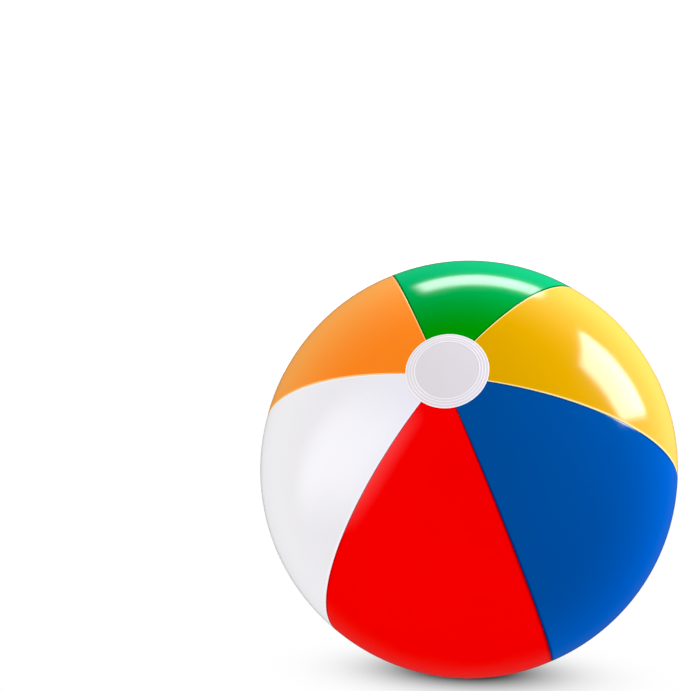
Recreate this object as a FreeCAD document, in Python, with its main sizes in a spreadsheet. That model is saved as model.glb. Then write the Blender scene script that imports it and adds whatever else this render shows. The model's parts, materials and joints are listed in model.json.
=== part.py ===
import FreeCAD, Part
import math
import os

import Sketcher
from FreeCAD import Placement, Rotation, Vector

# Inflatable beach ball: six welded PVC gores, two pole caps and a push-in inflation valve.
# Frame: millimetres, +Z up, origin at the centre of the ball, which rests on its floor patch
# at -Z. The polar axis lies in the YZ plane, tilted so that the front pole looks to -Y and up.
# Each sub-part is drawn pole-up about the ball's centre, or, for the valve, with the valve's
# axis on +Z, and its Placement turns it into the frame.

SIZES = [
    # alias, value, meaning
    ("ball_radius", 162.5, "outer radius of the inflated ball"),
    ("film", 0.25, "thickness of the PVC film"),
    ("gore_angle", 60, "share of the circle that one gore covers"),
    ("seam_gap_angle", 0.007, "angle left between two neighbouring gores"),
    ("lip_depth", 4, "depth of the weld lip inside a seam"),
    ("tip_opening", 7, "distance from the polar axis at which the gores and lips end"),
    ("first_gore", 25.2, "azimuth of the first gore about the polar axis"),
    ("pole_tilt", 60, "tilt of the polar axis away from +Z"),
    ("floor_flat", 0.6, "how far the floor patch is pressed in"),
    ("patch_radius", 13.8, "radius of the film pressed flat at the floor patch"),
    ("cap_radius", 25.6, "radius of a pole cap"),
    ("cap_slip", 1.85, "angle by which the front cap is welded off the pole"),
    ("cap_slip_azimuth", 61, "azimuth toward which the front cap is off"),
    ("weld_gap", 0.02, "gap between two pieces that are welded flat together"),
    ("ring_radius", 0.2, "radius of a weld ring's round section on a cap"),
    ("ring_outer", 0.91, "outer weld ring's radius as a share of the cap's"),
    ("ring_step", 0.067, "step from one weld ring to the next as a share of the cap's radius"),
    ("valve_polar", 155, "angle from the front pole to the valve"),
    ("valve_hole", 12, "radius of the hole in the film around the valve"),
    ("flange_radius", 17, "outer radius of the valve's flange"),
    ("flange_inner", 11.5, "inner radius of the valve's flange"),
    ("flange_thick", 0.6, "thickness of the valve's flange"),
    ("skirt_wall", 0.5, "wall of the rolling skirt"),
    ("skirt_top", 0.75, "depth of the skirt's outer end below the film"),
    ("skirt_foot", 12.6, "depth of the skirt's inner end below the film"),
    ("valve_gap", 0.05, "gap between mating valve pieces"),
    ("stem_radius", 5, "outer radius of the stem"),
    ("stem_bore", 3.3, "radius of the bore that air goes through"),
    ("stem_top", 2.2, "depth of the stem's rim below the film when pushed in"),
    ("stem_foot", 17, "depth of the stem's inner end"),
    ("rim_radius", 5.4, "radius of the bead around the stem's rim"),
    ("rim_height", 1, "height of the bead around the stem's rim"),
    ("mouth_chamfer", 0.5, "chamfer at the mouth of the bore"),
    ("flap_radius", 4.3, "radius of the check flap"),
    ("flap_thick", 0.4, "thickness of the check flap"),
    ("flap_neck", 3, "width of the check flap's living hinge"),
    ("flap_hinge", 4.9, "distance of the check flap's hinge from the valve's axis"),
    ("plug_head", 5.6, "radius of the plug's head"),
    ("plug_thick", 1.6, "thickness of the plug's head"),
    ("plug_dimple", 3, "radius of the dimple in the plug's head"),
    ("dimple_depth", 0.4, "depth of that dimple"),
    ("shank_radius", 3.15, "radius of the plug's shank at the mouth"),
    ("shank_straight", 1.4, "length of the shank before its taper"),
    ("shank_length", 3.85, "length of the shank"),
    ("shank_tip", 2.4, "radius of the shank's tip"),
    ("tab_reach", 8.6, "distance of the pull tab's end from the valve's axis"),
    ("tab_width", 5, "width of the pull tab"),
    ("tab_thick", 0.9, "thickness of the pull tab"),
    ("strap_width", 4, "width of the plug's strap"),
    ("strap_thick", 0.8, "thickness of the plug's strap"),
    ("strap_bend", 1.7, "radius of the strap's bend, at mid-thickness"),
    ("strap_centre", 6.6, "distance of the bend's centre from the valve's axis"),
    ("strap_depth", 3, "depth of the bend's centre below the film"),
    ("edge_round", 0.3, "rounding of the plug's edges"),
]

COLOURS = ["yellow", "green", "orange", "white", "red", "blue"]
FLOOR_GORE = "red"
VALVE_GORE = "orange"
RING_COUNT = 3
OUTWARD = Vector(0, 0, 1)
CLOSE = 0.01    # lengths that differ by less than this are taken as the same

doc = FreeCAD.newDocument("BeachBall")


# ---- sizes -----------------------------------------------------------------------------

def make_sheet():
    sheet = doc.addObject("Spreadsheet::Sheet", "Sizes")
    for row, (alias, value, meaning) in enumerate(SIZES, start=1):
        sheet.set(f"A{row}", meaning)
        sheet.set(f"B{row}", str(value))
        sheet.setAlias(f"B{row}", alias)
    doc.recompute()
    return sheet


sheet = make_sheet()


def size(expression):
    """The present value of an expression in the sheet's cells, such as 'Sizes.film * 2'."""
    return float(sheet.evalExpression(expression))


def depth(alias):
    """The expression for a distance from the ball's centre that is this cell less than its radius."""
    return f"Sizes.ball_radius - Sizes.{alias}"


# ---- places ----------------------------------------------------------------------------

TILT = Rotation(Vector(1, 0, 0), size("Sizes.pole_tilt"))


def gore_azimuth(colour):
    return size("Sizes.first_gore") + COLOURS.index(colour) * size("Sizes.gore_angle")


def gore_turn(colour):
    """Turns a gore drawn about +X on the pole-up ball to its own azimuth, then tilts the ball."""
    return TILT * Rotation(OUTWARD, gore_azimuth(colour))


def toward(polar_angle, azimuth):
    """Turns +Z to a direction of the pole-up ball, given its angle from the pole and azimuth."""
    return Rotation(OUTWARD, azimuth) * Rotation(Vector(0, 1, 0), polar_angle)


VALVE_IN_GORE = toward(size("Sizes.valve_polar"), 0)
VALVE_TURN = gore_turn(VALVE_GORE) * VALVE_IN_GORE
FRONT_TURN = TILT * toward(size("Sizes.cap_slip"), size("Sizes.cap_slip_azimuth"))
REAR_TURN = TILT * Rotation(Vector(1, 0, 0), 180)


# ---- helpers ---------------------------------------------------------------------------

def new_body(label, turn):
    body = doc.addObject("PartDesign::Body", label)
    body.Label = label
    body.Placement = Placement(Vector(), turn)
    return body


def origin_plane(body, role):
    return next(item for item in body.Origin.OriginFeatures if item.Role == role)


def new_sketch(body, name, role="XZ_Plane", offset=Placement()):
    sketch = body.newObject("Sketcher::SketchObject", name)
    sketch.AttachmentSupport = [(origin_plane(body, role), "")]
    sketch.MapMode = "FlatFace"
    sketch.AttachmentOffset = offset
    return sketch


def constrain(sketch, name, expression, kind, *where):
    """Adds one named dimension and binds it to the sheet."""
    index = sketch.addConstraint(Sketcher.Constraint(kind, *where, size(expression)))
    sketch.renameConstraint(index, name)
    sketch.setExpression(f"Constraints.{name}", expression)


def pin_point(sketch, name, geometry, end, x, y):
    """Ties one point to the sketch's origin by two dimensions; 0 puts it on an axis."""
    axes = {"x": (x, "DistanceX", -2), "y": (y, "DistanceY", -1)}
    for letter, (expression, kind, axis) in axes.items():
        if expression == "0":
            sketch.addConstraint(Sketcher.Constraint("PointOnObject", geometry, end, axis))
        else:
            constrain(sketch, f"{name}_{letter}", expression, kind, -1, 1, geometry, end)


def polygon(sketch, corners):
    """A closed outline through named corners, each given by two expressions."""
    points = []
    for _, x, y in corners:
        points.append(Vector(size(x), size(y), 0))
    for start, end in zip(points, points[1:] + points[:1]):
        sketch.addGeometry(Part.LineSegment(start, end))
    for index, (name, x, y) in enumerate(corners):
        before = (index - 1) % len(corners)
        sketch.addConstraint(Sketcher.Constraint("Coincident", before, 2, index, 1))
        pin_point(sketch, name, index, 1, x, y)


def arc_strip(sketch, outer, inner, right_x, left_x, mirrored=False):
    """A strip between two arcs about the origin, from right_x to left_x. Both its ends lie
    above the origin, or, when mirrored, the far end lies below it."""
    arcs = []
    for radius in (outer, inner):
        reach = size(radius)
        high = math.acos(size(left_x) / reach)
        low = -high if mirrored else math.acos(size(right_x) / reach)
        whole = Part.Circle(Vector(), OUTWARD, reach)
        arcs.append(Part.ArcOfCircle(whole, low, high))
    for arc in arcs:
        sketch.addGeometry(arc)
    sketch.addGeometry(Part.LineSegment(arcs[0].EndPoint, arcs[1].EndPoint))
    sketch.addGeometry(Part.LineSegment(arcs[0].StartPoint, arcs[1].StartPoint))
    for arc, name, radius in ((0, "outer", outer), (1, "inner", inner)):
        sketch.addConstraint(Sketcher.Constraint("Coincident", arc, 3, -1, 1))
        constrain(sketch, name, radius, "Radius", arc)
        for point, edge, x in ((1, 3, right_x), (2, 2, left_x)):
            sketch.addConstraint(Sketcher.Constraint("Coincident", arc, point, edge, arc + 1))
            if x == "0":
                sketch.addConstraint(Sketcher.Constraint("PointOnObject", arc, point, -2))
            else:
                constrain(sketch, f"{name}_end_{point}", x, "DistanceX", -1, 1, arc, point)


def circle(sketch, radius, x="0", y="0"):
    centre = Vector(size(x), size(y), 0)
    index = sketch.addGeometry(Part.Circle(centre, OUTWARD, size(radius)))
    constrain(sketch, f"radius_{index}", radius, "Radius", index)
    pin_point(sketch, f"centre_{index}", index, 3, x, y)


def revolve(body, sketch, name, angle="360"):
    """Turns a profile about the body's Z axis, half to each side of it."""
    feature = body.newObject("PartDesign::Revolution", name)
    feature.Profile = sketch
    feature.ReferenceAxis = (sketch, ["V_Axis"])
    feature.Midplane = True
    feature.setExpression("Angle", angle)
    return feature


def pad(body, sketch, name, length, both_ways=False, backwards=False):
    feature = body.newObject("PartDesign::Pad", name)
    feature.Profile = sketch
    feature.setExpression("Length", length)
    feature.Reversed = backwards
    if both_ways:
        feature.SideType = "Symmetric"
    return feature


def pocket(body, sketch, name, length, backwards=False):
    """Cuts a sketch away over a length, and stops the build if nothing was cut."""
    doc.recompute()
    before = body.Shape.Volume
    feature = body.newObject("PartDesign::Pocket", name)
    feature.Profile = sketch
    feature.setExpression("Length", length)
    feature.Reversed = backwards
    doc.recompute()
    if body.Shape.Volume >= before:
        raise RuntimeError(f"{body.Label}: {name} cuts nothing")
    return feature


def round_edges(body, base, name, radius, chosen):
    """Fillets the edges of base that chosen() accepts."""
    doc.recompute()
    names = []
    for index, edge in enumerate(base.Shape.Edges, start=1):
        if chosen(edge):
            names.append(f"Edge{index}")
    feature = body.newObject("PartDesign::Fillet", name)
    feature.Base = (base, names)
    feature.setExpression("Radius", radius)
    return feature


def is_ring(edge, radius, height):
    """Is this edge a full circle of that radius about the Z axis, at that height?"""
    box = edge.BoundBox
    wide_enough = abs(box.XLength - 2 * radius) < CLOSE
    return wide_enough and abs(box.Center.z - height) < CLOSE and box.ZLength < CLOSE


# ---- gores and caps --------------------------------------------------------------------

def make_gore(colour):
    """One gore: a 60 degree slice of the sphere with a weld lip turned in along each seam."""
    body = new_body(f"gore_{colour}", gore_turn(colour))

    meridian = new_sketch(body, "Meridian")
    arc_strip(meridian, "Sizes.ball_radius", "Sizes.ball_radius - Sizes.film",
              "Sizes.tip_opening", "Sizes.tip_opening", mirrored=True)
    revolve(body, meridian, "Panel", "Sizes.gore_angle - Sizes.seam_gap_angle")

    seam_turn = Rotation(Vector(0, 1, 0), 1)
    seam = new_sketch(body, "SeamLine", offset=Placement(Vector(), seam_turn))
    seam.setExpression("AttachmentOffset.Rotation.Angle",
                       "(Sizes.gore_angle - Sizes.seam_gap_angle) / 2")
    arc_strip(seam, "Sizes.ball_radius - Sizes.film / 2", "Sizes.ball_radius - Sizes.lip_depth",
              "Sizes.tip_opening", "Sizes.tip_opening", mirrored=True)
    lip = pad(body, seam, "WeldLip", "Sizes.film")

    mirror = body.newObject("PartDesign::Mirrored", "BothLips")
    mirror.Originals = [lip]
    mirror.MirrorPlane = (origin_plane(body, "XZ_Plane"), [""])
    body.Tip = mirror
    return body


def press_floor_flat(body):
    """Presses in the patch of this gore that faces straight down."""
    down = gore_turn(FLOOR_GORE).inverted() * Rotation(Vector(1, 0, 0), 180)
    level = Placement(down.multVec(Vector(0, 0, size(depth("floor_flat")))), down)

    outside = new_sketch(body, "PatchOutline", "XY_Plane", level)
    circle(outside, "Sizes.patch_radius + Sizes.lip_depth")
    pocket(body, outside, "PressIn", "Sizes.lip_depth", backwards=True)

    inside = new_sketch(body, "PatchFilm", "XY_Plane", level)
    circle(inside, "Sizes.patch_radius")
    pad(body, inside, "FloorPatch", "Sizes.film", backwards=True)


def cut_valve_hole(body):
    """Cuts the round hole for the valve, from inside the film outward."""
    inside = VALVE_IN_GORE.multVec(Vector(0, 0, size(depth("lip_depth"))))
    hole = new_sketch(body, "ValveHole", "XY_Plane", Placement(inside, VALVE_IN_GORE))
    circle(hole, "Sizes.valve_hole")
    pocket(body, hole, "CutValveHole", "Sizes.lip_depth + Sizes.film", backwards=True)


def make_cap(label, turn):
    """A round cap welded over the gores' tips, with fine weld rings near its edge."""
    body = new_body(label, turn)
    dome = new_sketch(body, "Dome")
    outer = "Sizes.ball_radius + Sizes.weld_gap + Sizes.film"
    arc_strip(dome, outer, "Sizes.ball_radius + Sizes.weld_gap", "Sizes.cap_radius", "0")
    revolve(body, dome, "Disc")

    rings = new_sketch(body, "RingSections")
    for number in range(RING_COUNT):
        share = f"(Sizes.ring_outer - {number} * Sizes.ring_step)"
        x = f"Sizes.cap_radius * {share}"
        y = f"sqrt(({outer})^2 - ({x})^2)"
        circle(rings, "Sizes.ring_radius", x, y)
    revolve(body, rings, "WeldRings")
    return body


# ---- valve -----------------------------------------------------------------------------

def make_flange():
    """The ring by which the valve is welded to the inside of the film."""
    body = new_body("valve_flange", VALVE_TURN)
    section = new_sketch(body, "FlangeSection")
    top = "Sizes.ball_radius - Sizes.film - Sizes.weld_gap"
    foot = f"{top} - Sizes.flange_thick"
    arc_strip(section, top, foot, "Sizes.flange_radius", "Sizes.flange_inner")
    revolve(body, section, "FlangeRing")


def make_skirt():
    """The thin skirt that carries the stem and rolls over when the stem is pulled out."""
    body = new_body("valve_skirt", VALVE_TURN)
    section = new_sketch(body, "SkirtSection")
    wide = "Sizes.flange_inner - Sizes.valve_gap"
    narrow = "Sizes.stem_radius + Sizes.valve_gap"
    corners = [
        ("edge", wide, depth("skirt_top")),
        ("inside_top", f"{wide} - Sizes.skirt_wall", depth("skirt_top")),
        ("inside_foot", narrow, f"{depth('skirt_foot')} + Sizes.skirt_wall"),
        ("stem_side", narrow, depth("skirt_foot")),
        ("outside_foot", f"{narrow} + Sizes.skirt_wall", depth("skirt_foot")),
    ]
    polygon(section, corners)
    revolve(body, section, "SkirtCone")


def make_stem():
    """The tube that is pushed into the ball; its rim carries a bead and a chamfered mouth."""
    body = new_body("valve_stem", VALVE_TURN)
    section = new_sketch(body, "StemSection")
    top = depth("stem_top")
    corners = [
        ("bore_foot", "Sizes.stem_bore", depth("stem_foot")),
        ("wall_foot", "Sizes.stem_radius", depth("stem_foot")),
        ("wall_top", "Sizes.stem_radius", f"{top} - Sizes.rim_height"),
        ("bead_foot", "Sizes.rim_radius", f"{top} - Sizes.rim_height"),
        ("bead_top", "Sizes.rim_radius", top),
        ("mouth", "Sizes.stem_bore + Sizes.mouth_chamfer", top),
        ("bore_top", "Sizes.stem_bore", f"{top} - Sizes.mouth_chamfer"),
    ]
    polygon(section, corners)
    tube = revolve(body, section, "Tube")
    rim, height = size("Sizes.rim_radius"), size(top)
    round_edges(body, tube, "RimRound", "Sizes.edge_round", lambda edge: is_ring(edge, rim, height))


def make_flap():
    """The check flap under the stem's inner end, with a rolled living hinge at one side."""
    body = new_body("check_flap", VALVE_TURN)
    level = size(f"{depth('stem_foot')} - Sizes.valve_gap")
    lift = Placement(Vector(0, 0, level), Rotation())

    disc = new_sketch(body, "FlapOutline", "XY_Plane", lift)
    circle(disc, "Sizes.flap_radius")
    pad(body, disc, "FlapDisc", "Sizes.flap_thick", backwards=True)

    neck = new_sketch(body, "NeckOutline", "XY_Plane", lift)
    corners = [
        ("hinge_left", "-Sizes.flap_hinge", "-Sizes.flap_neck / 2"),
        ("disc_left", "-Sizes.flap_radius / 2", "-Sizes.flap_neck / 2"),
        ("disc_right", "-Sizes.flap_radius / 2", "Sizes.flap_neck / 2"),
        ("hinge_right", "-Sizes.flap_hinge", "Sizes.flap_neck / 2"),
    ]
    polygon(neck, corners)
    pad(body, neck, "FlapNeck", "Sizes.flap_thick", backwards=True)

    roll = new_sketch(body, "HingeRoll")
    middle = f"{depth('stem_foot')} - Sizes.valve_gap - Sizes.flap_thick / 2"
    circle(roll, "Sizes.flap_thick / 2", "-Sizes.flap_hinge", middle)
    pad(body, roll, "FlapHinge", "Sizes.flap_neck", both_ways=True)


def make_plug():
    """The plug: a dimpled head with a pull tab, and a tapered shank in the stem's bore."""
    body = new_body("valve_plug", VALVE_TURN)
    seat = f"{depth('stem_top')} + Sizes.valve_gap"
    top = f"{seat} + Sizes.plug_thick"
    section = new_sketch(body, "PlugSection")
    corners = [
        ("head_top", "0", top),
        ("head_edge", "Sizes.plug_head", top),
        ("head_under", "Sizes.plug_head", seat),
        ("shank_root", "Sizes.shank_radius", seat),
        ("taper_start", "Sizes.shank_radius", f"{seat} - Sizes.shank_straight"),
        ("tip_edge", "Sizes.shank_tip", f"{seat} - Sizes.shank_length"),
        ("tip", "0", f"{seat} - Sizes.shank_length"),
    ]
    polygon(section, corners)
    head = revolve(body, section, "HeadAndShank")
    rounded = [
        (size("Sizes.plug_head"), size(top)),
        (size("Sizes.shank_tip"), size(f"{seat} - Sizes.shank_length")),
    ]
    round_edges(body, head, "HeadRound", "Sizes.edge_round",
                lambda edge: any(is_ring(edge, radius, height) for radius, height in rounded))

    lift = Placement(Vector(0, 0, size(seat)), Rotation())
    tab = new_sketch(body, "TabOutline", "XY_Plane", lift)
    corners = [
        ("root_left", "Sizes.plug_dimple", "-Sizes.tab_width / 2"),
        ("end_left", "Sizes.tab_reach", "-Sizes.tab_width / 2"),
        ("end_right", "Sizes.tab_reach", "Sizes.tab_width / 2"),
        ("root_right", "Sizes.plug_dimple", "Sizes.tab_width / 2"),
    ]
    polygon(tab, corners)
    pad(body, tab, "PullTab", "Sizes.tab_thick")

    face = Placement(Vector(0, 0, size(top)), Rotation())
    dimple = new_sketch(body, "DimpleOutline", "XY_Plane", face)
    circle(dimple, "Sizes.plug_dimple")
    pocket(body, dimple, "Dimple", "Sizes.dimple_depth")


def make_strap():
    """The C-shaped strap that ties the plug to the stem and bends as the plug swings open."""
    body = new_body("plug_strap", VALVE_TURN)
    outline = new_sketch(body, "StrapOutline")
    centre = Vector(-size("Sizes.strap_centre"), size(depth("strap_depth")), 0)
    radii = {
        "outer": "Sizes.strap_bend + Sizes.strap_thick / 2",
        "inner": "Sizes.strap_bend - Sizes.strap_thick / 2",
    }
    plug_end = "-Sizes.plug_head - Sizes.valve_gap"
    stem_end = "-Sizes.stem_radius - Sizes.valve_gap"
    for name, radius in radii.items():
        bend = Part.Circle(centre, OUTWARD, size(radius))
        arc = outline.addGeometry(Part.ArcOfCircle(bend, math.pi / 2, 3 * math.pi / 2))
        constrain(outline, name, radius, "Radius", arc)
        pin_point(outline, f"{name}_centre", arc, 3, "-Sizes.strap_centre", depth("strap_depth"))
    legs = []
    for side, end_x, arc_end in ((1, plug_end, 1), (-1, stem_end, 2)):
        ends = []
        for arc, radius in enumerate(radii.values()):
            y = centre.y + side * size(radius)
            leg = Part.LineSegment(Vector(centre.x, y, 0), Vector(size(end_x), y, 0))
            line = outline.addGeometry(leg)
            outline.addConstraint(Sketcher.Constraint("Coincident", arc, arc_end, line, 1))
            outline.addConstraint(Sketcher.Constraint("Horizontal", line))
            outline.addConstraint(Sketcher.Constraint("Vertical", arc, arc_end, arc, 3))
            constrain(outline, f"leg_{line}", end_x, "DistanceX", -1, 1, line, 2)
            ends.append(line)
        legs.append(ends)
    for ends in legs:
        points = [outline.getPoint(line, 2) for line in ends]
        close = outline.addGeometry(Part.LineSegment(*points))
        outline.addConstraint(Sketcher.Constraint("Coincident", ends[0], 2, close, 1))
        outline.addConstraint(Sketcher.Constraint("Coincident", ends[1], 2, close, 2))
    pad(body, outline, "Strap", "Sizes.strap_width", both_ways=True)


# ---- the ball --------------------------------------------------------------------------

for colour in COLOURS:
    gore = make_gore(colour)
    if colour == FLOOR_GORE:
        press_floor_flat(gore)
    if colour == VALVE_GORE:
        cut_valve_hole(gore)
make_cap("front_cap", FRONT_TURN)
make_cap("rear_cap", REAR_TURN)
make_flange()
make_skirt()
make_stem()
make_flap()
make_plug()
make_strap()
doc.recompute()


# ---- checks and files ------------------------------------------------------------------

for item in doc.Objects:
    if "Invalid" in item.State or "Error" in item.State:
        raise RuntimeError(f"{item.Label} failed: {item.State}")
bodies = [item for item in doc.Objects if item.TypeId == "PartDesign::Body"]
for body in bodies:
    if body.Shape.isNull() or not body.Shape.isValid():
        raise RuntimeError(f"{body.Label} has no valid shape")
    if len(body.Shape.Solids) != 1:
        raise RuntimeError(f"{body.Label} has {len(body.Shape.Solids)} solids")

os.makedirs("parts", exist_ok=True)
for body in bodies:
    body.Shape.exportStep(f"parts/{body.Label}.step")
    print(f"{body.Label}: {body.Shape.Volume:.1f} mm3")
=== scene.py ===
import json
import math

import bmesh
import bpy
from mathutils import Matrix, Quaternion, Vector, noise


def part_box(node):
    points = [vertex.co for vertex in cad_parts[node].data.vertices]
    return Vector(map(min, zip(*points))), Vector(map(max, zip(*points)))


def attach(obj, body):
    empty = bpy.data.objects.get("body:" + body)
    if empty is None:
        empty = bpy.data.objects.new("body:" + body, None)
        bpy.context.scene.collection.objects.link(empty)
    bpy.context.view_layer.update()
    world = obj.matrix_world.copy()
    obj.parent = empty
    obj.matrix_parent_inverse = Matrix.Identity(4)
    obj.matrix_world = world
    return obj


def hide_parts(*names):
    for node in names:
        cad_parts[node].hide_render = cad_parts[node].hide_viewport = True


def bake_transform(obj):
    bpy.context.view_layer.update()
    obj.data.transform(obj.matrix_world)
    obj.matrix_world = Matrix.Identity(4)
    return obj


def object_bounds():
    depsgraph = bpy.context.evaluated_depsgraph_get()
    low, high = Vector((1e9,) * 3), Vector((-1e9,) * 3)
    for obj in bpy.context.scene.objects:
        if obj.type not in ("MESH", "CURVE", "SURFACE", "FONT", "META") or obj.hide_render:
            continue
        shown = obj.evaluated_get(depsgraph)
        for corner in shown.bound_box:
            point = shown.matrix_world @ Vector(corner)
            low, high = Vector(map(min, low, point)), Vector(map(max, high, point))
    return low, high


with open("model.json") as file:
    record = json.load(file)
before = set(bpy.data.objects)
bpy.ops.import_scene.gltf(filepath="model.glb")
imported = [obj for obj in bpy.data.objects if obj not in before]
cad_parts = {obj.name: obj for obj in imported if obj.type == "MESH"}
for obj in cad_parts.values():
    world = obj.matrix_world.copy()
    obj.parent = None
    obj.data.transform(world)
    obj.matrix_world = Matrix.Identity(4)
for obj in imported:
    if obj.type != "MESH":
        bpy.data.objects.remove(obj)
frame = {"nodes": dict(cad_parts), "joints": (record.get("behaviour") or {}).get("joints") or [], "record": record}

CAD_LOW, CAD_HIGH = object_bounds()
MM = 0.001


# ---- places and sizes, from the frame ----------------------------------------------------

JOINTS = {joint["name"]: joint for joint in frame["joints"]}
MOUNTS = {mount["name"]: mount for mount in frame["record"]["mounts"]}


def box_middle(node):
    low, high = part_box(node)
    return (low + high) / 2


def square_axes(out, side):
    """Axes with Z along out, X towards side and Y square to both."""
    z = out.normalized()
    x = (side - z * side.dot(z)).normalized()
    return x, z.cross(x), z


RADIUS = round((CAD_HIGH.x - CAD_LOW.x) / 2, 4)
CAP_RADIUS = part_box("rear_cap")[1].x
FLOOR_LEVEL = MOUNTS["floor_patch"]["pos_m"][2]

VALVE_OUT = Vector(JOINTS["valve_pop_out"]["axis"])
PLUG_HINGE = Vector(JOINTS["plug_swing"]["pos_m"])
POLE_TILT = math.radians(60)
FRONT_POLE = Vector((0, -math.sin(POLE_TILT), math.cos(POLE_TILT)))
POLE_X, POLE_Y, POLE_Z = square_axes(FRONT_POLE, VALVE_OUT)
VALVE_X, VALVE_Y, VALVE_Z = square_axes(VALVE_OUT, -PLUG_HINGE)
FRONT_CAP_AXES = square_axes(box_middle("front_cap"), VALVE_OUT)
REAR_CAP_AXES = square_axes(-FRONT_POLE, VALVE_OUT)

# The gores in order round the front pole, counted from the one that holds the valve.
GORES = ["orange", "white", "red", "blue", "yellow", "green"]
GORE_ANGLE = math.radians(360 / len(GORES))

FILM = 0.25 * MM              # film thickness
SEAM_CLEARANCE = 0.01 * MM    # from the seam's plane to the film's face
SEAM_ROUND = 0.45 * MM        # radius by which the film turns in at a seam
LIP_DEPTH = 4 * MM            # depth of the weld lip inside a seam
TIP_OPENING = 7 * MM          # the gores end this far from the polar axis
SEAM_SINK = 0.25 * MM         # how much lower the seams lie than the gores' middles
PUCKER = 0.035 * MM           # height of the fine puckers along the seams
PUCKER_REACH = 9 * MM         # how far the puckers run into the gore
PUCKER_LENGTH = 11 * MM       # length of one pucker along the seam
SLACK = 0.03 * MM             # long, shallow unevenness of the film
SLACK_LENGTH = 55 * MM
PATCH_ROUND = 0.15 * MM       # how softly the film bends into the flat patch it rests on
WELD_GAP = 0.02 * MM          # between two pieces welded flat together

VALVE_HOLE = 12 * MM          # radius of the hole in the film
WELD_RISE = 0.12 * MM         # how far the valve's flange lifts the film over it
FLANGE_RADIUS = 17 * MM
WELD_LINES = 3                # fine weld lines over the flange
WELD_LINE_RISE = 0.07 * MM
WELD_LINE_HALF = 0.4 * MM
WELD_LINE_STEP = 1.25 * MM
VALVE_WELD = 0.3              # how much of the weld's shade the film over the flange has


# ---- node helper -------------------------------------------------------------------------

class NodeTree:
    """Adds nodes to a tree and links them. Inputs and outputs go by name or number."""

    def __init__(self, tree):
        self.tree = tree
        tree.nodes.clear()

    def add(self, kind, inputs=None, **settings):
        made = self.tree.nodes.new(kind)
        for key, value in settings.items():
            setattr(made, key, value)
        for key, value in (inputs or {}).items():
            socket = made.inputs[key]
            if isinstance(value, bpy.types.NodeSocket):
                self.tree.links.new(value, socket)
            else:
                socket.default_value = value
        return made.outputs

    def math(self, operation, first, second=0.0, third=0.0):
        return self.add("ShaderNodeMath", {0: first, 1: second, 2: third}, operation=operation)[0]

    def ramp(self, value, low, high, to_low=0.0, to_high=1.0):
        """A smooth step from to_low to to_high as value goes from low to high."""
        inputs = {0: value, 1: low, 2: high, 3: to_low, 4: to_high}
        return self.add("ShaderNodeMapRange", inputs, interpolation_type="SMOOTHSTEP")[0]

    def mix_colour(self, share, first, second):
        inputs = {0: share, 6: first, 7: second}
        return self.add("ShaderNodeMix", inputs, data_type="RGBA")[2]

    def noise(self, place, feature, detail=2.0, roughness=0.5):
        """Noise from 0 to 1 whose features are about this many metres across."""
        inputs = {"Vector": place, "Scale": 1 / feature, "Detail": detail, "Roughness": roughness}
        return self.add("ShaderNodeTexNoise", inputs)[0]


# ---- materials ---------------------------------------------------------------------------

PVC_IOR = 1.5
CLOUD_SIZE, CLOUD_DEPTH = 70 * MM, 0.10       # how wide the film's clouding is, and how deep it goes
FILM_ROUGHNESS = 0.115
SMUDGE_SIZE, SMUDGE_ROUGHNESS = 28 * MM, 0.035
SCRATCH_WIDTH, SCRATCH_ROUGHNESS, SCRATCH_DEPTH = 1.1 * MM, 0.05, 0.0012 * MM
SCRATCH_TURN, SCRATCH_STRETCH = (0.6, 0.9, 0.2), (1.0, 1.0, 0.03)
RIPPLE_SIZE, RIPPLE_HEIGHT = 14 * MM, 0.012 * MM
PEEL_SIZE, PEEL_HEIGHT = 1.6 * MM, 0.0022 * MM


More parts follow.
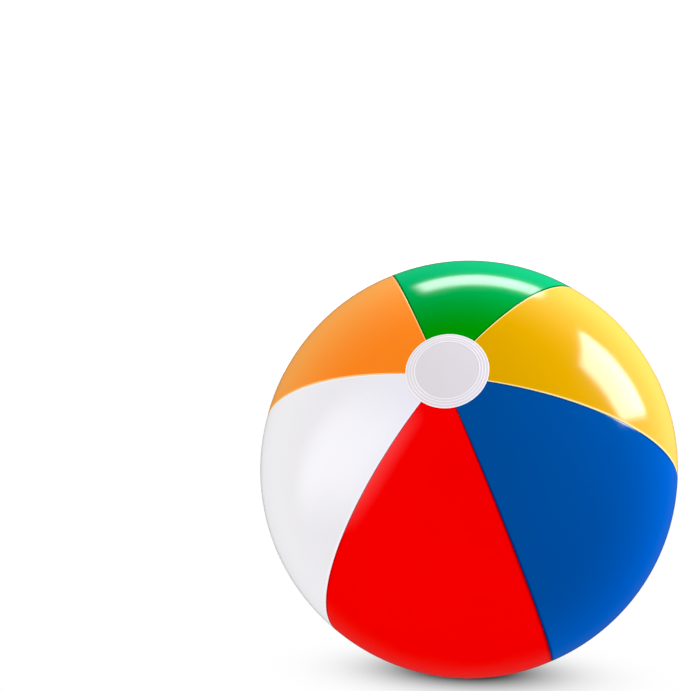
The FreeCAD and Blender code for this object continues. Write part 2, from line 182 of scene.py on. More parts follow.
def film_material(name, colour, deep, edge, weld_tone_and_painted_light):
    """Glossy calendered PVC: slow clouding of the pigment towards a deeper shade, finger-worn gloss,
    fine orange peel and hairline scratches. Where the film is seen edge-on it is less glossy and its
    colour turns to a lighter shade, a painted rim light. At the welds it takes a colour of its own:
    along the seams and the cap's rings and lip this is painted light, a highlight on the light films and
    shade on the dark ones; over the valve's flange it is the film's own paler tone."""
    material = bpy.data.materials.new(name)
    material.use_nodes = True
    tree = NodeTree(material.node_tree)
    place = tree.add("ShaderNodeTexCoord")["Object"]

    cloud = tree.noise(place, CLOUD_SIZE, 3.0)
    cloud = tree.ramp(cloud, 0.3, 0.7)
    pigment = tree.mix_colour(tree.math("MULTIPLY", cloud, CLOUD_DEPTH), (*colour, 1), (*deep, 1))
    facing = tree.add("ShaderNodeLayerWeight", {"Blend": 0.5})["Facing"]
    # Painted rim light: a lighter shade mixed in where the film is seen edge-on.
    pigment = tree.mix_colour(tree.ramp(facing, 0.25, 0.90), pigment, (*edge, 1))
    # Painted light at the welds: a highlight along the light films' seams and the cap's rings and lip, shade along
    # the dark films' seams; over the valve's flange, the film's own paler tone.
    weld = tree.add("ShaderNodeAttribute", attribute_name="weld")["Fac"]
    pigment = tree.mix_colour(weld, pigment, (*weld_tone_and_painted_light, 1))

    smudge = tree.ramp(tree.noise(place, SMUDGE_SIZE, 4.0, 0.6), 0.35, 0.75)
    turned = {"Vector": place, "Rotation": SCRATCH_TURN, "Scale": SCRATCH_STRETCH}
    stretched = tree.add("ShaderNodeMapping", turned)[0]
    hair = tree.noise(stretched, SCRATCH_WIDTH, 1.0)
    scratch = tree.ramp(hair, 0.70, 0.76)
    rough = tree.math("MULTIPLY_ADD", smudge, SMUDGE_ROUGHNESS, FILM_ROUGHNESS)
    rough = tree.math("MULTIPLY_ADD", scratch, SCRATCH_ROUGHNESS, rough)

    peel = tree.noise(place, PEEL_SIZE, 2.0)
    ripple = tree.noise(place, RIPPLE_SIZE, 1.0)
    height = tree.math("MULTIPLY", ripple, RIPPLE_HEIGHT)
    height = tree.math("MULTIPLY_ADD", peel, PEEL_HEIGHT, height)
    height = tree.math("MULTIPLY_ADD", scratch, -SCRATCH_DEPTH, height)
    bump = tree.add("ShaderNodeBump", {"Strength": 1.0, "Distance": 1.0, "Height": height})[0]

    surface = tree.add("ShaderNodeBsdfPrincipled", {
        "Base Color": pigment,
        "Roughness": rough,
        "IOR": PVC_IOR,
        "Specular IOR Level": tree.ramp(facing, 0.5, 0.88, 0.5, 0.03),
        "Normal": bump,
    })[0]
    tree.add("ShaderNodeOutputMaterial", {"Surface": surface})
    return material


def moulded_material(name, colour):
    """The valve's soft moulded PVC: faintly clouded, satin, with a fine mould grain."""
    material = bpy.data.materials.new(name)
    material.use_nodes = True
    tree = NodeTree(material.node_tree)
    place = tree.add("ShaderNodeTexCoord")["Object"]
    cloud = tree.noise(place, 5 * MM, 3.0)
    deep = [channel * 0.86 for channel in colour]
    pigment = tree.mix_colour(cloud, (*colour, 1), (*deep, 1))
    rough = tree.ramp(tree.noise(place, 2 * MM, 3.0), 0.3, 0.7, 0.30, 0.42)
    grain = tree.noise(place, 0.35 * MM, 2.0)
    bump = tree.add("ShaderNodeBump", {"Strength": 0.5, "Distance": 0.03 * MM, "Height": grain})[0]
    surface = tree.add("ShaderNodeBsdfPrincipled", {
        "Base Color": pigment,
        "Roughness": rough,
        "IOR": PVC_IOR,
        "Subsurface Weight": 0.35,
        "Subsurface Radius": (1.0, 0.9, 0.8),
        "Subsurface Scale": 0.8 * MM,
        "Normal": bump,
    })[0]
    tree.add("ShaderNodeOutputMaterial", {"Surface": surface})
    return material


FILM_COLOURS = {
    # pigment, its deeper shade, the painted rim light seen edge-on, and the colour at the welds (a painted
    # highlight on the light films, painted shade on the dark ones), in linear RGB
    "orange": ((0.97, 0.238, 0.017), (0.87, 0.19, 0.012), (1.0, 0.42, 0.088), (1.0, 0.58, 0.20)),
    "white": ((0.83, 0.815, 0.83), (0.79, 0.775, 0.795), (0.98, 0.97, 0.99), (1.0, 0.99, 1.0)),
    "red": ((0.93, 0.002, 0.002), (0.84, 0.002, 0.002), (1.0, 0.010, 0.007), (0.46, 0.002, 0.004)),
    "blue": ((0.001, 0.080, 0.285), (0.001, 0.068, 0.25), (0.002, 0.125, 0.48), (0.001, 0.040, 0.16)),
    "yellow": ((0.70, 0.360, 0.001), (0.65, 0.33, 0.001), (0.98, 0.64, 0.095), (1.0, 0.86, 0.33)),
    "green": ((0.001, 0.290, 0.007), (0.001, 0.24, 0.005), (0.003, 0.55, 0.19), (0.001, 0.13, 0.005)),
}
FILM_MATERIALS = {}
for colour, shades in FILM_COLOURS.items():
    FILM_MATERIALS[colour] = film_material(f"pvc_film_{colour}", *shades)
# The cap's edge-on shade is a painted rim light, and its weld colour a painted highlight on its rings and lip.
CAP_MATERIAL = film_material(
    "pvc_cap", (0.735, 0.69, 0.665), (0.71, 0.67, 0.65), (0.80, 0.78, 0.77), (0.95, 0.92, 0.90))
VALVE_MATERIAL = moulded_material("pvc_valve", (0.76, 0.76, 0.74))


# ---- mesh helpers ------------------------------------------------------------------------

def new_piece(name, points, faces, material, crease=35):
    """A closed mesh piece with its normals outward, smooth but for edges sharper than crease."""
    mesh = bpy.data.meshes.new(name)
    mesh.from_pydata(points, [], faces)
    edit = bmesh.new()
    edit.from_mesh(mesh)
    bmesh.ops.recalc_face_normals(edit, faces=edit.faces)
    edit.to_mesh(mesh)
    edit.free()
    mesh.materials.append(material)
    mesh.shade_smooth()
    mesh.set_sharp_from_angle(angle=math.radians(crease))
    piece = bpy.data.objects.new(name, mesh)
    bpy.context.scene.collection.objects.link(piece)
    return piece


def set_weld(piece, strengths):
    """Stores how near each point is to a weld, 0 to 1, for the material."""
    attribute = piece.data.attributes.new("weld", "FLOAT", "POINT")
    attribute.data.foreach_set("value", strengths)


def lathe(name, profile, axes, material, segments=96, closed=False, crease=35):
    """Turns (radius, height) points about the Z of axes, heights counted from the ball's centre.
    An open profile starts and ends on the axis; a closed one makes a ring."""
    x, y, z = axes
    points, rings, faces = [], [], []
    for radius, height in profile:
        if radius == 0:
            rings.append([len(points)] * segments)
            points.append(z * height)
            continue
        rings.append(list(range(len(points), len(points) + segments)))
        for step in range(segments):
            angle = 2 * math.pi * step / segments
            points.append(x * radius * math.cos(angle) + y * radius * math.sin(angle) + z * height)
    pairs = list(zip(rings, rings[1:]))
    if closed:
        pairs.append((rings[-1], rings[0]))
    for first, second in pairs:
        for step in range(segments):
            after = (step + 1) % segments
            corners = [first[step], first[after], second[after], second[step]]
            faces.append(list(dict.fromkeys(corners)))
    return new_piece(name, points, faces, material, crease)


def rounded(corners, steps=4):
    """Replaces each (radius, height, rounding) corner of an outline by an arc of that rounding."""
    result = []
    count = len(corners)
    for index, (x, y, rounding) in enumerate(corners):
        here = Vector((x, y))
        if rounding == 0:
            result.append((x, y))
            continue
        before = Vector(corners[index - 1][:2]) - here
        after = Vector(corners[(index + 1) % count][:2]) - here
        cut = min(rounding, before.length * 0.45, after.length * 0.45)
        start = here + before.normalized() * cut
        end = here + after.normalized() * cut
        for step in range(steps + 1):
            share = step / steps
            point = start * (1 - share) ** 2 + here * 2 * share * (1 - share) + end * share ** 2
            result.append((point.x, point.y))
    return result


def smooth(share):
    share = max(0.0, min(1.0, share))
    return share * share * (3 - 2 * share)


def ridge(distance, half_width):
    """A rounded ridge of height 1 at distance 0."""
    if abs(distance) >= half_width:
        return 0.0
    return 0.5 + 0.5 * math.cos(math.pi * distance / half_width)


# ---- the film's surface ------------------------------------------------------------------

def pole_direction(polar, azimuth):
    side = POLE_X * math.cos(azimuth) + POLE_Y * math.sin(azimuth)
    return POLE_Z * math.cos(polar) + side * math.sin(polar)


def valve_relief(distance):
    """The film's rise over the valve's flange, with the fine lines of its weld."""
    band = smooth((FLANGE_RADIUS + 0.4 * MM - distance) / (0.8 * MM))
    rise = WELD_RISE * band
    for line in range(WELD_LINES):
        at = VALVE_HOLE + (line + 0.9) * WELD_LINE_STEP
        rise += WELD_LINE_RISE * ridge(distance - at, WELD_LINE_HALF)
    return rise


def film_relief(direction):
    """How far the film stands off the true sphere in one direction from the ball's centre."""
    polar = math.acos(max(-1.0, min(1.0, direction.dot(POLE_Z))))
    turn = math.atan2(direction.dot(POLE_Y), direction.dot(POLE_X)) / GORE_ANGLE
    share = abs((turn + 0.5) % 1 - 0.5) * 2
    wide = math.sin(polar)
    seam = pole_direction(polar, (math.floor(turn) + 0.5) * GORE_ANGLE)
    seam_distance = (1 - share) * GORE_ANGLE / 2 * RADIUS * wide

    rise = -SEAM_SINK * share ** 2 * wide
    fade = smooth((wide - 0.16) / 0.25)
    pucker = noise.noise(seam * (RADIUS / PUCKER_LENGTH))
    rise += PUCKER * pucker * math.exp(-seam_distance / PUCKER_REACH) * fade
    rise += SLACK * noise.noise(direction * (RADIUS / SLACK_LENGTH)) * fade

    across = direction - VALVE_Z * direction.dot(VALVE_Z)
    if direction.dot(VALVE_Z) > 0 and across.length * RADIUS < FLANGE_RADIUS + 2 * MM:
        rise += valve_relief(across.length * RADIUS)
    return rise


def film_point(direction, depth):
    """A point of the film, this deep under its outer face, pressed flat where it meets the floor."""
    point = direction * (RADIUS - depth + film_relief(direction))
    lowest = FLOOR_LEVEL + depth
    if point.z < lowest + 1 * MM:
        over = point.z - lowest
        point.z = lowest + (over + math.sqrt(over * over + PATCH_ROUND * PATCH_ROUND)) / 2
    return point


# ---- gores -------------------------------------------------------------------------------

ROUND_STEPS = 5
ALONG_STEPS = 170
ACROSS_STEPS = 44


def seam_profile():
    """(distance from the seam's plane, depth) for the film's outer and inner faces, from the weld
    lip's edge up and round to the gore's face."""
    outer = [(SEAM_CLEARANCE, LIP_DEPTH), (SEAM_CLEARANCE, LIP_DEPTH / 2)]
    inner = [(SEAM_CLEARANCE + FILM, LIP_DEPTH), (SEAM_CLEARANCE + FILM, LIP_DEPTH / 2)]
    middle = SEAM_CLEARANCE + SEAM_ROUND
    for step in range(ROUND_STEPS + 1):
        angle = math.pi / 2 * step / ROUND_STEPS
        for face, radius in ((outer, SEAM_ROUND), (inner, SEAM_ROUND - FILM)):
            distance = middle - radius * math.cos(angle)
            face.append((distance, SEAM_ROUND - radius * math.sin(angle)))
    return outer, inner


def across_share(step):
    """Goes from -1 to 1 over the gore, in finer steps near the seams."""
    reach = 0.78 * math.pi / 2
    return math.sin(reach * (2 * step / ACROSS_STEPS - 1)) / math.sin(reach)


def gore_row(polar, middle, profile, depth):
    """One row of points across a gore, on one face of the film, and how near a weld each is."""
    points, welds = [], []
    for side in (-1, 1):
        half = []
        for distance, down in profile:
            parallel = (RADIUS - down) * math.sin(polar)
            azimuth = middle + side * (GORE_ANGLE / 2 - math.asin(min(0.99, distance / parallel)))
            half.append(film_point(pole_direction(polar, azimuth), down))
        if side < 0:
            points += half
            last = profile[-1][0]
            reach = GORE_ANGLE / 2 - math.asin(last / (RADIUS * math.sin(polar)))
            for step in range(1, ACROSS_STEPS):
                azimuth = middle + reach * across_share(step)
                points.append(film_point(pole_direction(polar, azimuth), depth))
            welds = [1.0] * len(profile) + [0.0] * (ACROSS_STEPS - 1) + [1.0] * len(profile)
        else:
            points += reversed(half)
    return points, welds


def make_gore(index, colour):
    """A gore as one closed sheet of film, with its rolled seams and weld lips."""
    middle = index * GORE_ANGLE
    tip = math.asin(TIP_OPENING / RADIUS)
    outer, inner = seam_profile()
    points, welds, rows = [], [], []
    for step in range(ALONG_STEPS + 1):
        polar = tip + (math.pi - 2 * tip) * step / ALONG_STEPS
        row = []
        for profile, depth in ((outer, 0.0), (inner, FILM)):
            made, near = gore_row(polar, middle, profile, depth)
            row.append(list(range(len(points), len(points) + len(made))))
            points += made
            welds += near
        rows.append(row)

    across = len(rows[0][0])
    hole = valve_block(points, rows) if colour == "orange" else None
    faces = []
    for step, (row, after) in enumerate(zip(rows, rows[1:])):
        for column in range(across - 1):
            if hole and hole[0] <= step < hole[1] and hole[2] <= column < hole[3]:
                continue
            for face in (0, 1):
                faces.append([row[face][column], row[face][column + 1],
                              after[face][column + 1], after[face][column]])
        for column in (0, across - 1):
            faces.append([row[0][column], row[1][column], after[1][column], after[0][column]])
    for row in (rows[0], rows[-1]):
        for column in range(across - 1):
            faces.append([row[0][column], row[0][column + 1], row[1][column + 1], row[1][column]])
    if hole:
        add_valve_rings(points, welds, faces, rows, hole)

    piece = new_piece(f"film_{colour}", points, faces, FILM_MATERIALS[colour], crease=60)
    set_weld(piece, welds)
    return piece


BLOCK_REACH = 22 * MM         # half the side of the patch that is rebuilt round the valve's hole
RING_STEP = 0.16 * MM
RINGS = math.ceil((FLANGE_RADIUS + 1 * MM - VALVE_HOLE) / RING_STEP)
WIDEST_RING = VALVE_HOLE + RINGS * RING_STEP
BLEND_RINGS = 7               # rings that turn from the grid's square outline to the round one


def valve_block(points, rows):
    """The rows and columns of the gore's grid that the rings round the valve's hole replace."""
    near_rows, near_columns = [], []
    for step, row in enumerate(rows):
        for column, number in enumerate(row[0]):
            point = points[number]
            if point.dot(VALVE_Z) < 0:
                continue
            if abs(point.dot(VALVE_X)) < BLOCK_REACH and abs(point.dot(VALVE_Y)) < BLOCK_REACH:
                near_rows.append(step)
                near_columns.append(column)
    return min(near_rows) - 1, max(near_rows) + 1, min(near_columns) - 1, max(near_columns) + 1


def ring_radius(ring, border):
    """The radius of a ring round the valve's hole, towards a border point this far from its axis."""
    if ring <= BLEND_RINGS:
        return border + (WIDEST_RING - border) * ring / BLEND_RINGS
    return WIDEST_RING - (ring - BLEND_RINGS) * RING_STEP


def add_valve_rings(points, welds, faces, rows, hole):
    """Closes the block with rings that run from the grid in to the valve's round hole."""
    first_row, last_row, first_column, last_column = hole
    edge = [(first_row, column) for column in range(first_column, last_column)]
    edge += [(row, last_column) for row in range(first_row, last_row)]
    edge += [(last_row, column) for column in range(last_column, first_column, -1)]
    edge += [(row, first_column) for row in range(last_row, first_row, -1)]
    mouths = []
    for face, depth in ((0, 0.0), (1, FILM)):
        border = [rows[row][face][column] for row, column in edge]
        rings = [border]
        flat = []
        for number in border:
            flat.append(Vector((points[number].dot(VALVE_X), points[number].dot(VALVE_Y))))
        for ring in range(1, BLEND_RINGS + RINGS + 1):
            made = []
            for place in flat:
                radius = ring_radius(ring, place.length)
                spot = place.normalized() * radius
                height = math.sqrt(RADIUS * RADIUS - radius * radius)
                direction = (VALVE_X * spot.x + VALVE_Y * spot.y + VALVE_Z * height).normalized()
                made.append(len(points))
                points.append(film_point(direction, depth))
                welds.append(VALVE_WELD if radius < FLANGE_RADIUS else 0.0)
            rings.append(made)
        count = len(border)
        for ring, inside in zip(rings, rings[1:]):
            for step in range(count):
                after = (step + 1) % count
                faces.append([ring[step], ring[after], inside[after], inside[step]])
        mouths.append(rings[-1])
    for step in range(len(mouths[0])):
        after = (step + 1) % len(mouths[0])
        faces.append([mouths[0][step], mouths[0][after], mouths[1][after], mouths[1][step]])


for index, colour in enumerate(GORES):
    gore = make_gore(index, colour)
    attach(gore, "ball")
    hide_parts(f"gore_{colour}")


# ---- pole caps ---------------------------------------------------------------------------

CAP_RINGS = (0.91, 0.843, 0.776)  # weld rings, as shares of the cap's radius
CAP_RING_RISE = 0.20 * MM
CAP_RING_HALF = 0.50 * MM
CAP_EDGE_RISE = 0.10 * MM
CAP_EDGE_HALF = 0.45 * MM
CAP_BAND_WELD = 0.12              # how much of the weld's shade the band between the rings has


def cap_relief(radius):
    rise = CAP_EDGE_RISE * ridge(radius - (CAP_RADIUS - CAP_EDGE_HALF), CAP_EDGE_HALF)
    for share in CAP_RINGS:
        rise += CAP_RING_RISE * ridge(radius - share * CAP_RADIUS, CAP_RING_HALF)
    return rise


def cap_weld(radius):
    """How white the cap is: its weld band is paler than its middle; its rings and lip are whitest of all, a
    painted highlight on their ridges.
    """
    band = CAP_BAND_WELD * smooth((radius - (CAP_RINGS[-1] * CAP_RADIUS - 0.4 * MM)) / (0.6 * MM))
    lip = smooth((radius - (CAP_RADIUS - 0.9 * MM)) / (0.5 * MM))
    rings = max(ridge(radius - share * CAP_RADIUS, CAP_RING_HALF) for share in CAP_RINGS)
    return max(band, lip, rings)


def cap_profile():
    """From the pole out along the cap's outer face, round its edge and back underneath."""
    coarse, fine, below = 16, 56, 12
    edge = 0.08 * MM
    fine_from = 0.75 * CAP_RADIUS
    fine_step = (CAP_RADIUS - edge - fine_from) / fine
    radii = [fine_from * step / coarse for step in range(coarse + 1)]
    radii += [fine_from + fine_step * (step + 1) for step in range(fine)]
    inner = RADIUS + WELD_GAP
    top = []
    for radius in radii:
        height = inner + FILM + cap_relief(radius)
        top.append((radius, math.sqrt(height * height - radius * radius)))
    rim_height = math.sqrt(inner * inner - CAP_RADIUS * CAP_RADIUS)
    rim = [(CAP_RADIUS, rim_height + FILM * 0.7), (CAP_RADIUS, rim_height + FILM * 0.25)]
    under = []
    for step in range(below, -1, -1):
        radius = (CAP_RADIUS - edge) * step / below
        under.append((radius, math.sqrt(inner * inner - radius * radius)))
    return top + rim + under


for node, axes in (("front_cap", FRONT_CAP_AXES), ("rear_cap", REAR_CAP_AXES)):
    cap = lathe(f"{node}_film", cap_profile(), axes, CAP_MATERIAL, segments=128, crease=50)
    welds = []
    for vertex in cap.data.vertices:
        off_axis = vertex.co - axes[2] * vertex.co.dot(axes[2])
        welds.append(cap_weld(off_axis.length))
    set_weld(cap, welds)
    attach(cap, "ball")
    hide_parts(node)


# ---- valve -------------------------------------------------------------------------------

VALVE_AXES = (VALVE_X, VALVE_Y, VALVE_Z)
STEM_TOP = -2.2 * MM          # heights are counted from the film's face, on the valve's axis
STEM_FOOT = -17 * MM
STEM_RADIUS = 5 * MM
STEM_BORE = 3.3 * MM
BEAD_RADIUS = 5.4 * MM
BEAD_HEIGHT = 1 * MM
PLUG_SEAT = STEM_TOP + 0.05 * MM
PLUG_TOP = PLUG_SEAT + 1.6 * MM
PLUG_RADIUS = 5.6 * MM
PLUG_DIMPLE, DIMPLE_DEPTH = 3 * MM, 0.4 * MM
SHANK_RADIUS, SHANK_TIP = 3.15 * MM, 2.4 * MM
SHANK_STRAIGHT, SHANK_LENGTH = 1.4 * MM, 3.85 * MM
SKIRT_RIM = 11.46 * MM
SKIRT_TOP = -0.75 * MM
SKIRT_FOOT = -12.6 * MM
SKIRT_WALL = 0.5 * MM
SKIRT_FOLD = 0.35 * MM        # height of its two folds
TAB_START, TAB_END = 3.3 * MM, 8.6 * MM
TAB_WIDTH, TAB_THICKNESS, TAB_ROUND = 5.0 * MM, 0.85 * MM, 1.6 * MM
TAB_RIBS, TAB_RIB_FROM, TAB_RIB_STEP = 3, 6.5 * MM, 0.65 * MM
TAB_RIB_RISE, TAB_RIB_HALF = 0.28 * MM, 0.26 * MM
STRAP_BEND = 1.7 * MM         # radius of the strap's bend, from the hinge's axis
STRAP_WIDTH, STRAP_THICKNESS = 4.0 * MM, 0.75 * MM


def valve_point(x, y, height):
    """A point in valve axes; height is counted from the film's face."""
    return VALVE_X * x + VALVE_Y * y + VALVE_Z * (RADIUS + height)


def raised(outline):
    return [(radius, height + RADIUS) for radius, height in outline]


def make_stem():
    outline = rounded([
        (STEM_BORE, STEM_FOOT, 0.1 * MM),
        (STEM_RADIUS, STEM_FOOT, 0.3 * MM),
        (STEM_RADIUS, STEM_TOP - BEAD_HEIGHT, 0.15 * MM),
        (BEAD_RADIUS, STEM_TOP - BEAD_HEIGHT, 0.25 * MM),
        (BEAD_RADIUS, STEM_TOP, 0.35 * MM),
        (STEM_BORE + 0.5 * MM, STEM_TOP, 0.15 * MM),
        (STEM_BORE, STEM_TOP - 0.5 * MM, 0.15 * MM),
    ])
    stem = lathe("stem_tube", raised(outline), VALVE_AXES, VALVE_MATERIAL, closed=True)
    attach(stem, "valve_stem")
    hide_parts("valve_stem")


def make_plug():
    tip = PLUG_SEAT - SHANK_LENGTH
    outline = rounded([
        (0, PLUG_TOP - DIMPLE_DEPTH, 0),
        (PLUG_DIMPLE - 0.25 * MM, PLUG_TOP - DIMPLE_DEPTH, 0.2 * MM),
        (PLUG_DIMPLE, PLUG_TOP, 0.2 * MM),
        (PLUG_RADIUS, PLUG_TOP, 0.45 * MM),
        (PLUG_RADIUS, PLUG_SEAT, 0.3 * MM),
        (SHANK_RADIUS, PLUG_SEAT, 0.1 * MM),
        (SHANK_RADIUS, PLUG_SEAT - SHANK_STRAIGHT, 0.4 * MM),
        (SHANK_TIP, tip, 0.4 * MM),
        (0, tip, 0),
    ])
    plug = lathe("plug_body", raised(outline), VALVE_AXES, VALVE_MATERIAL)
    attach(plug, "plug")
    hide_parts("valve_plug")


def make_skirt():
    """The thin skirt with its two shallow folds, as it stands at rest."""
    wide = SKIRT_RIM - SKIRT_WALL / 2
    narrow = STEM_RADIUS + SKIRT_WALL / 2
    top = SKIRT_TOP - SKIRT_WALL / 2
    foot = SKIRT_FOOT + SKIRT_WALL / 2
    along = Vector((narrow - wide, foot - top))
    across = Vector((along.y, -along.x)).normalized()
    steps = 30
    sides = {1: [], -1: []}
    for step in range(steps + 1):
        share = step / steps
        fold = SKIRT_FOLD * math.sin(share * 4 * math.pi) * smooth(share * 6) * smooth((1 - share) * 6)
        spot = Vector((wide, top)) + along * share + across * fold
        for side, line in sides.items():
            line.append(tuple(spot + across * (side * SKIRT_WALL / 2)))
    outline = sides[1] + sides[-1][::-1]
    skirt = lathe("skirt_membrane", raised(outline), VALVE_AXES, VALVE_MATERIAL, closed=True, crease=60)
    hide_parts("valve_skirt")
    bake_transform(skirt)


def ribbon(name, path, material):
    """A soft-edged band along a path in the valve's X-height plane; each station of the path is
    (x, height, width, thickness). Its section is a superellipse, flatter across than through."""
    corners, flat_across, flat_through = 20, 0.35, 0.6
    points, rings, faces = [], [], []
    for index, (x, height, width, thickness) in enumerate(path):
        before = path[max(0, index - 1)]
        after = path[min(len(path) - 1, index + 1)]
        along = Vector((after[0] - before[0], after[1] - before[1])).normalized()
        normal = Vector((-along.y, along.x))
        ring = []
        for corner in range(corners):
            angle = 2 * math.pi * (corner + 0.5) / corners
            sideways = math.copysign(abs(math.cos(angle)) ** flat_across, math.cos(angle)) * width / 2
            upward = math.copysign(abs(math.sin(angle)) ** flat_through, math.sin(angle)) * thickness / 2
            spot = Vector((x, height)) + normal * upward
            ring.append(len(points))
            points.append(valve_point(spot.x, sideways, spot.y))
        rings.append(ring)
    for ring, after in zip(rings, rings[1:]):
        for corner in range(corners):
            other = (corner + 1) % corners
            faces.append([ring[corner], ring[other], after[other], after[corner]])
    faces.append(rings[0])
    faces.append(rings[-1])
    return new_piece(name, points, faces, material, crease=50)


def make_pull_tab():
    """The tab that a finger lifts, with three grip ribs and a rounded end."""
    middle = PLUG_SEAT + 0.45 * MM
    steps = 44
    path = []
    for step in range(steps + 1):
        x = TAB_START + (TAB_END - TAB_START) * step / steps
        width = TAB_WIDTH
        left = TAB_END - x
        if left < TAB_ROUND:
            width -= 2 * (TAB_ROUND - math.sqrt(max(0.0, TAB_ROUND ** 2 - (TAB_ROUND - left) ** 2)))
        thickness = TAB_THICKNESS * (0.35 + 0.65 * smooth(left / (0.35 * MM)))
        for rib in range(TAB_RIBS):
            thickness += TAB_RIB_RISE * ridge(x - TAB_RIB_FROM - TAB_RIB_STEP * rib, TAB_RIB_HALF)
        path.append((x, middle, width, thickness))
    tab = ribbon("plug_pull_tab", path, VALVE_MATERIAL)
    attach(tab, "plug")


def make_strap():
    """The strap from the stem, round its bend, to the plug's head; thinnest in the bend."""
    hinge_x = PLUG_HINGE.dot(VALVE_X)
    hinge_height = PLUG_HINGE.dot(VALVE_Z) - RADIUS
    bend_steps = 20
    straight = (0, 0.35, 0.7, 1)
    path = []
    root = -STEM_RADIUS + 0.25 * MM
    for share in straight:
        thick = 1 - smooth(share * 2)
        path.append((root + (hinge_x - root) * share, hinge_height - STRAP_BEND,
                     STRAP_WIDTH + 0.8 * MM * thick, STRAP_THICKNESS + 0.25 * MM * thick))
    for step in range(1, bend_steps):
        angle = -math.pi / 2 - math.pi * step / bend_steps
        thin = math.sin(math.pi * step / bend_steps)
        path.append((hinge_x + STRAP_BEND * math.cos(angle), hinge_height + STRAP_BEND * math.sin(angle),
                     STRAP_WIDTH - 0.4 * MM * thin, STRAP_THICKNESS - 0.2 * MM * thin))
    root = -PLUG_RADIUS + 0.35 * MM
    for share in straight:
        thick = smooth(share)
        path.append((hinge_x + (root - hinge_x) * share, hinge_height + STRAP_BEND,
                     STRAP_WIDTH + 0.6 * MM * thick, STRAP_THICKNESS + 0.15 * MM * thick))
    strap = ribbon("strap_band", path, VALVE_MATERIAL)
    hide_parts("plug_strap")
    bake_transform(strap)


make_stem()
make_plug()
make_pull_tab()
make_skirt()
make_strap()
for node in ("valve_flange", "check_flap"):
    for material_slot in frame["nodes"][node].material_slots:
        material_slot.link = "OBJECT"
        material_slot.material = VALVE_MATERIAL


# ---- floor, light and camera ---------------------------------------------------------------

def direction_from(azimuth, elevation):
    """A direction from the ball's centre; azimuth 0 is -Y, 90 is +X, in degrees."""
    turn, rise = math.radians(azimuth), math.radians(elevation)
    return Vector((math.sin(turn) * math.cos(rise), -math.cos(turn) * math.cos(rise), math.sin(rise)))


FLOOR_HALF = 6.0                                # metres from the floor's middle to its edge
BACKDROP = 1.3                                  # brightness of the white behind the ball
SHADOW_WIDE, SHADOW_NEAR = 71 * MM, 30 * MM     # the painted long soft shadow, to the sides and forward
SHADOW_AT = 24 * MM                             # how far its middle lies in front of the ball's
LONG_SHADE = 1.17                               # its depth in the middle, hidden under the ball
CONTACT_SHADE = 6.0                             # how fast the painted tight shadow round the patch fades
CARD_DISTANCE = 1.2                             # metres from the ball's centre to each panel
CARD_COLOUR = (0.98, 0.99, 1, 1)
SHADED_PIECES = ("film_white", "rear_cap_film") # a panel's light would burn out their white
CAMERA_AZIMUTH, CAMERA_ELEVATION = 6.67, 9.68
CAMERA_DISTANCE = 3.67 * RADIUS
CAMERA_LENS = 38.46                             # millimetres, on a 36 mm wide sensor
CAMERA_SHIFT = (-0.1877, 0.1794)


def make_floor():
    """A plain white sweep, seen from above only. It glows evenly white and takes no light; the soft
    shadow on it is painted, worked out from where the ball stands. The light that it would return
    comes from the lower half of the dome."""
    corners = []
    for x, y in ((-1, -1), (1, -1), (1, 1), (-1, 1)):
        corners.append((x * FLOOR_HALF, y * FLOOR_HALF, FLOOR_LEVEL))
    mesh = bpy.data.meshes.new("floor")
    mesh.from_pydata(corners, [], [(0, 1, 2, 3)])
    material = bpy.data.materials.new("studio_floor")
    material.use_nodes = True
    material.cycles.emission_sampling = "NONE"
    tree = NodeTree(material.node_tree)
    place = tree.add("ShaderNodeTexCoord")["Object"]
    x, y = tree.add("ShaderNodeSeparateXYZ", {0: place})[:2]

    # Painted long shadow: a soft oval of shade just in front of the ball.
    across = tree.math("POWER", tree.math("DIVIDE", x, SHADOW_WIDE), 2.0)
    forward = tree.math("DIVIDE", tree.math("ADD", y, SHADOW_AT), SHADOW_NEAR)
    spread = tree.math("ADD", across, tree.math("POWER", forward, 2.0))
    falloff = tree.math("EXPONENT", tree.math("MULTIPLY", spread, -1.0))
    long_shadow = tree.math("MULTIPLY_ADD", falloff, -LONG_SHADE, 1.0)

    # Painted contact shadow: how much of the sky a floor point would see past a ball that stands this far from it.
    distance = tree.math("ADD", tree.math("POWER", x, 2.0), tree.math("POWER", y, 2.0))
    cover = tree.math("DIVIDE", RADIUS ** 2, tree.math("ADD", distance, RADIUS ** 2))
    open_sky = tree.math("SUBTRACT", 1.0, tree.math("POWER", cover, 1.5))
    tight_shadow = tree.math("MULTIPLY", open_sky, CONTACT_SHADE)

    # The floor's glow: white but for the two painted shadows.
    shown = tree.math("MINIMUM", tree.math("MINIMUM", long_shadow, tight_shadow), 1.0)
    white = tree.add("ShaderNodeEmission", {"Strength": shown})[0]
    clear = tree.add("ShaderNodeBsdfTransparent")[0]
    behind = tree.add("ShaderNodeNewGeometry")["Backfacing"]
    surface = tree.add("ShaderNodeMixShader", {0: behind, 1: white, 2: clear})[0]
    tree.add("ShaderNodeOutputMaterial", {"Surface": surface})
    mesh.materials.append(material)
    floor = bpy.data.objects.new("floor", mesh)
    floor.visible_glossy = False
    floor.visible_diffuse = False
    bpy.context.scene.collection.objects.link(floor)


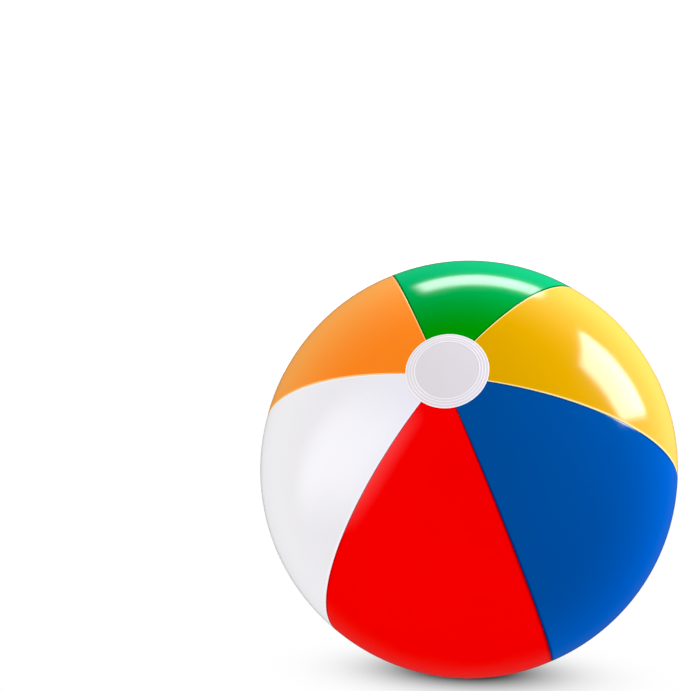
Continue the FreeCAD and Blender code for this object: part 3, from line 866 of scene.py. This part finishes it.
def make_world():
    """White to the camera. For the light it is a nearly even dome, a little brighter behind the ball
    and cooler from its right. For gloss it is dark but for a faint glow behind the ball."""
    world = bpy.data.worlds.new("studio")
    world.use_nodes = True
    world.cycles.sampling_method = "NONE"
    bpy.context.scene.world = world
    tree = NodeTree(world.node_tree)
    way = tree.add("ShaderNodeTexCoord")["Generated"]

    def toward(azimuth, elevation):
        inputs = {0: way, 1: tuple(direction_from(azimuth, elevation))}
        return tree.add("ShaderNodeVectorMath", inputs, operation="DOT_PRODUCT")[1]

    dome = tree.math("MULTIPLY_ADD", toward(187, -3), 0.13, 1.11)
    cool = tree.mix_colour(tree.ramp(toward(97, 0), 0.15, 1.0), (1, 1, 1, 1), (0.96, 1.0, 1.8, 1))
    gloss = tree.math("MULTIPLY_ADD", tree.ramp(toward(187, -10), 0.35, 0.95), 0.08, 0.01)
    path = tree.add("ShaderNodeLightPath")
    strength = tree.math("MULTIPLY_ADD", path["Is Glossy Ray"], tree.math("SUBTRACT", gloss, dome), dome)
    to_backdrop = tree.math("SUBTRACT", BACKDROP, strength)
    seen = tree.math("MULTIPLY_ADD", path["Is Camera Ray"], to_backdrop, strength)
    light = tree.add("ShaderNodeBackground", {"Color": cool, "Strength": seen})[0]
    tree.add("ShaderNodeOutputWorld", {"Surface": light})


def all_but(names):
    """A collection that tells a light to leave out the pieces of these names."""
    receivers = bpy.data.collections.new("receivers")
    for name in names:
        receivers.objects.link(bpy.data.objects[name])
    for member in receivers.collection_objects:
        member.light_linking.link_state = "EXCLUDE"
    return receivers


def soft_card(name, azimuth, elevation, size, fade, glow, roll=0.0, lean=0.0, taper=0.0, lights=True):
    """A glowing panel that faces the ball. Its sizes and the widths over which its glow fades out
    at its edges are (across, up) in metres; lean is how far its top leans sideways, and taper how
    much taller it gets towards one side. A panel that doesn't light the ball is only mirrored in
    it."""
    wide, high = size[0] / 2, size[1] / 2
    tall = high + abs(taper) * wide
    corners = []
    for x, y in ((-wide, -tall), (wide, -tall), (wide, tall), (-wide, tall)):
        corners.append((x + lean * y, y, 0))
    mesh = bpy.data.meshes.new(name)
    mesh.from_pydata(corners, [], [(0, 1, 2, 3)])
    material = bpy.data.materials.new(name)
    material.use_nodes = True
    tree = NodeTree(material.node_tree)
    place = tree.add("ShaderNodeTexCoord")["Object"]
    x, y = tree.add("ShaderNodeSeparateXYZ", {0: place})[:2]
    across = tree.math("ABSOLUTE", tree.math("MULTIPLY_ADD", y, -lean, x))
    up = tree.math("SUBTRACT", tree.math("ABSOLUTE", y), tree.math("MULTIPLY", x, taper))
    strength = glow
    for off, half, soft in ((across, wide, fade[0]), (up, high, fade[1])):
        inside = tree.ramp(off, half - soft, half, 1.0, 0.0)
        strength = tree.math("MULTIPLY", inside, strength)
    light = tree.add("ShaderNodeEmission", {"Color": CARD_COLOUR, "Strength": strength})[0]
    clear = tree.add("ShaderNodeBsdfTransparent")[0]
    surface = tree.add("ShaderNodeAddShader", {0: light, 1: clear})[0]
    tree.add("ShaderNodeOutputMaterial", {"Surface": surface})
    mesh.materials.append(material)
    card = bpy.data.objects.new(name, mesh)
    away = direction_from(azimuth, elevation)
    card.rotation_mode = "QUATERNION"
    card.rotation_quaternion = away.to_track_quat("Z", "Y") @ Quaternion((0, 0, 1), math.radians(roll))
    card.location = away * CARD_DISTANCE
    card.visible_camera = False
    card.visible_shadow = False
    card.visible_diffuse = lights
    if lights:
        card.light_linking.receiver_collection = all_but(SHADED_PIECES)
    bpy.context.scene.collection.objects.link(card)


def make_camera():
    """The photograph's viewpoint. The lens is shifted so that the ball sits low and to the right."""
    data = bpy.data.cameras.new("camera")
    data.sensor_width = 36
    data.lens = CAMERA_LENS
    data.shift_x, data.shift_y = CAMERA_SHIFT
    data.clip_start = 0.01
    camera = bpy.data.objects.new("camera", data)
    away = direction_from(CAMERA_AZIMUTH, CAMERA_ELEVATION)
    camera.location = away * CAMERA_DISTANCE
    camera.rotation_mode = "QUATERNION"
    camera.rotation_quaternion = away.to_track_quat("Z", "Y")
    bpy.context.scene.collection.objects.link(camera)
    bpy.context.scene.camera = camera


make_floor()
make_world()
soft_card("back_strip", 181, 59.5, (0.86, 0.31), (0.09, 0.08), 6.0, roll=11)
soft_card("window", 104.5, 31.5, (0.55, 0.74), (0.07, 0.08), 9.5, taper=0.20)
soft_card("left_glow", -57, 11, (1.4, 1.8), (0.5, 0.8), 2.3, lean=0.5, lights=False)
make_camera()

# The picture's finish: plain tones, with the very deepest clipped to black as in a shop photo.
finish = bpy.context.scene.view_settings
finish.view_transform = "Standard"
finish.use_curve_mapping = True
finish.curve_mapping.black_level = (0.012, 0.012, 0.012)
finish.curve_mapping.update()
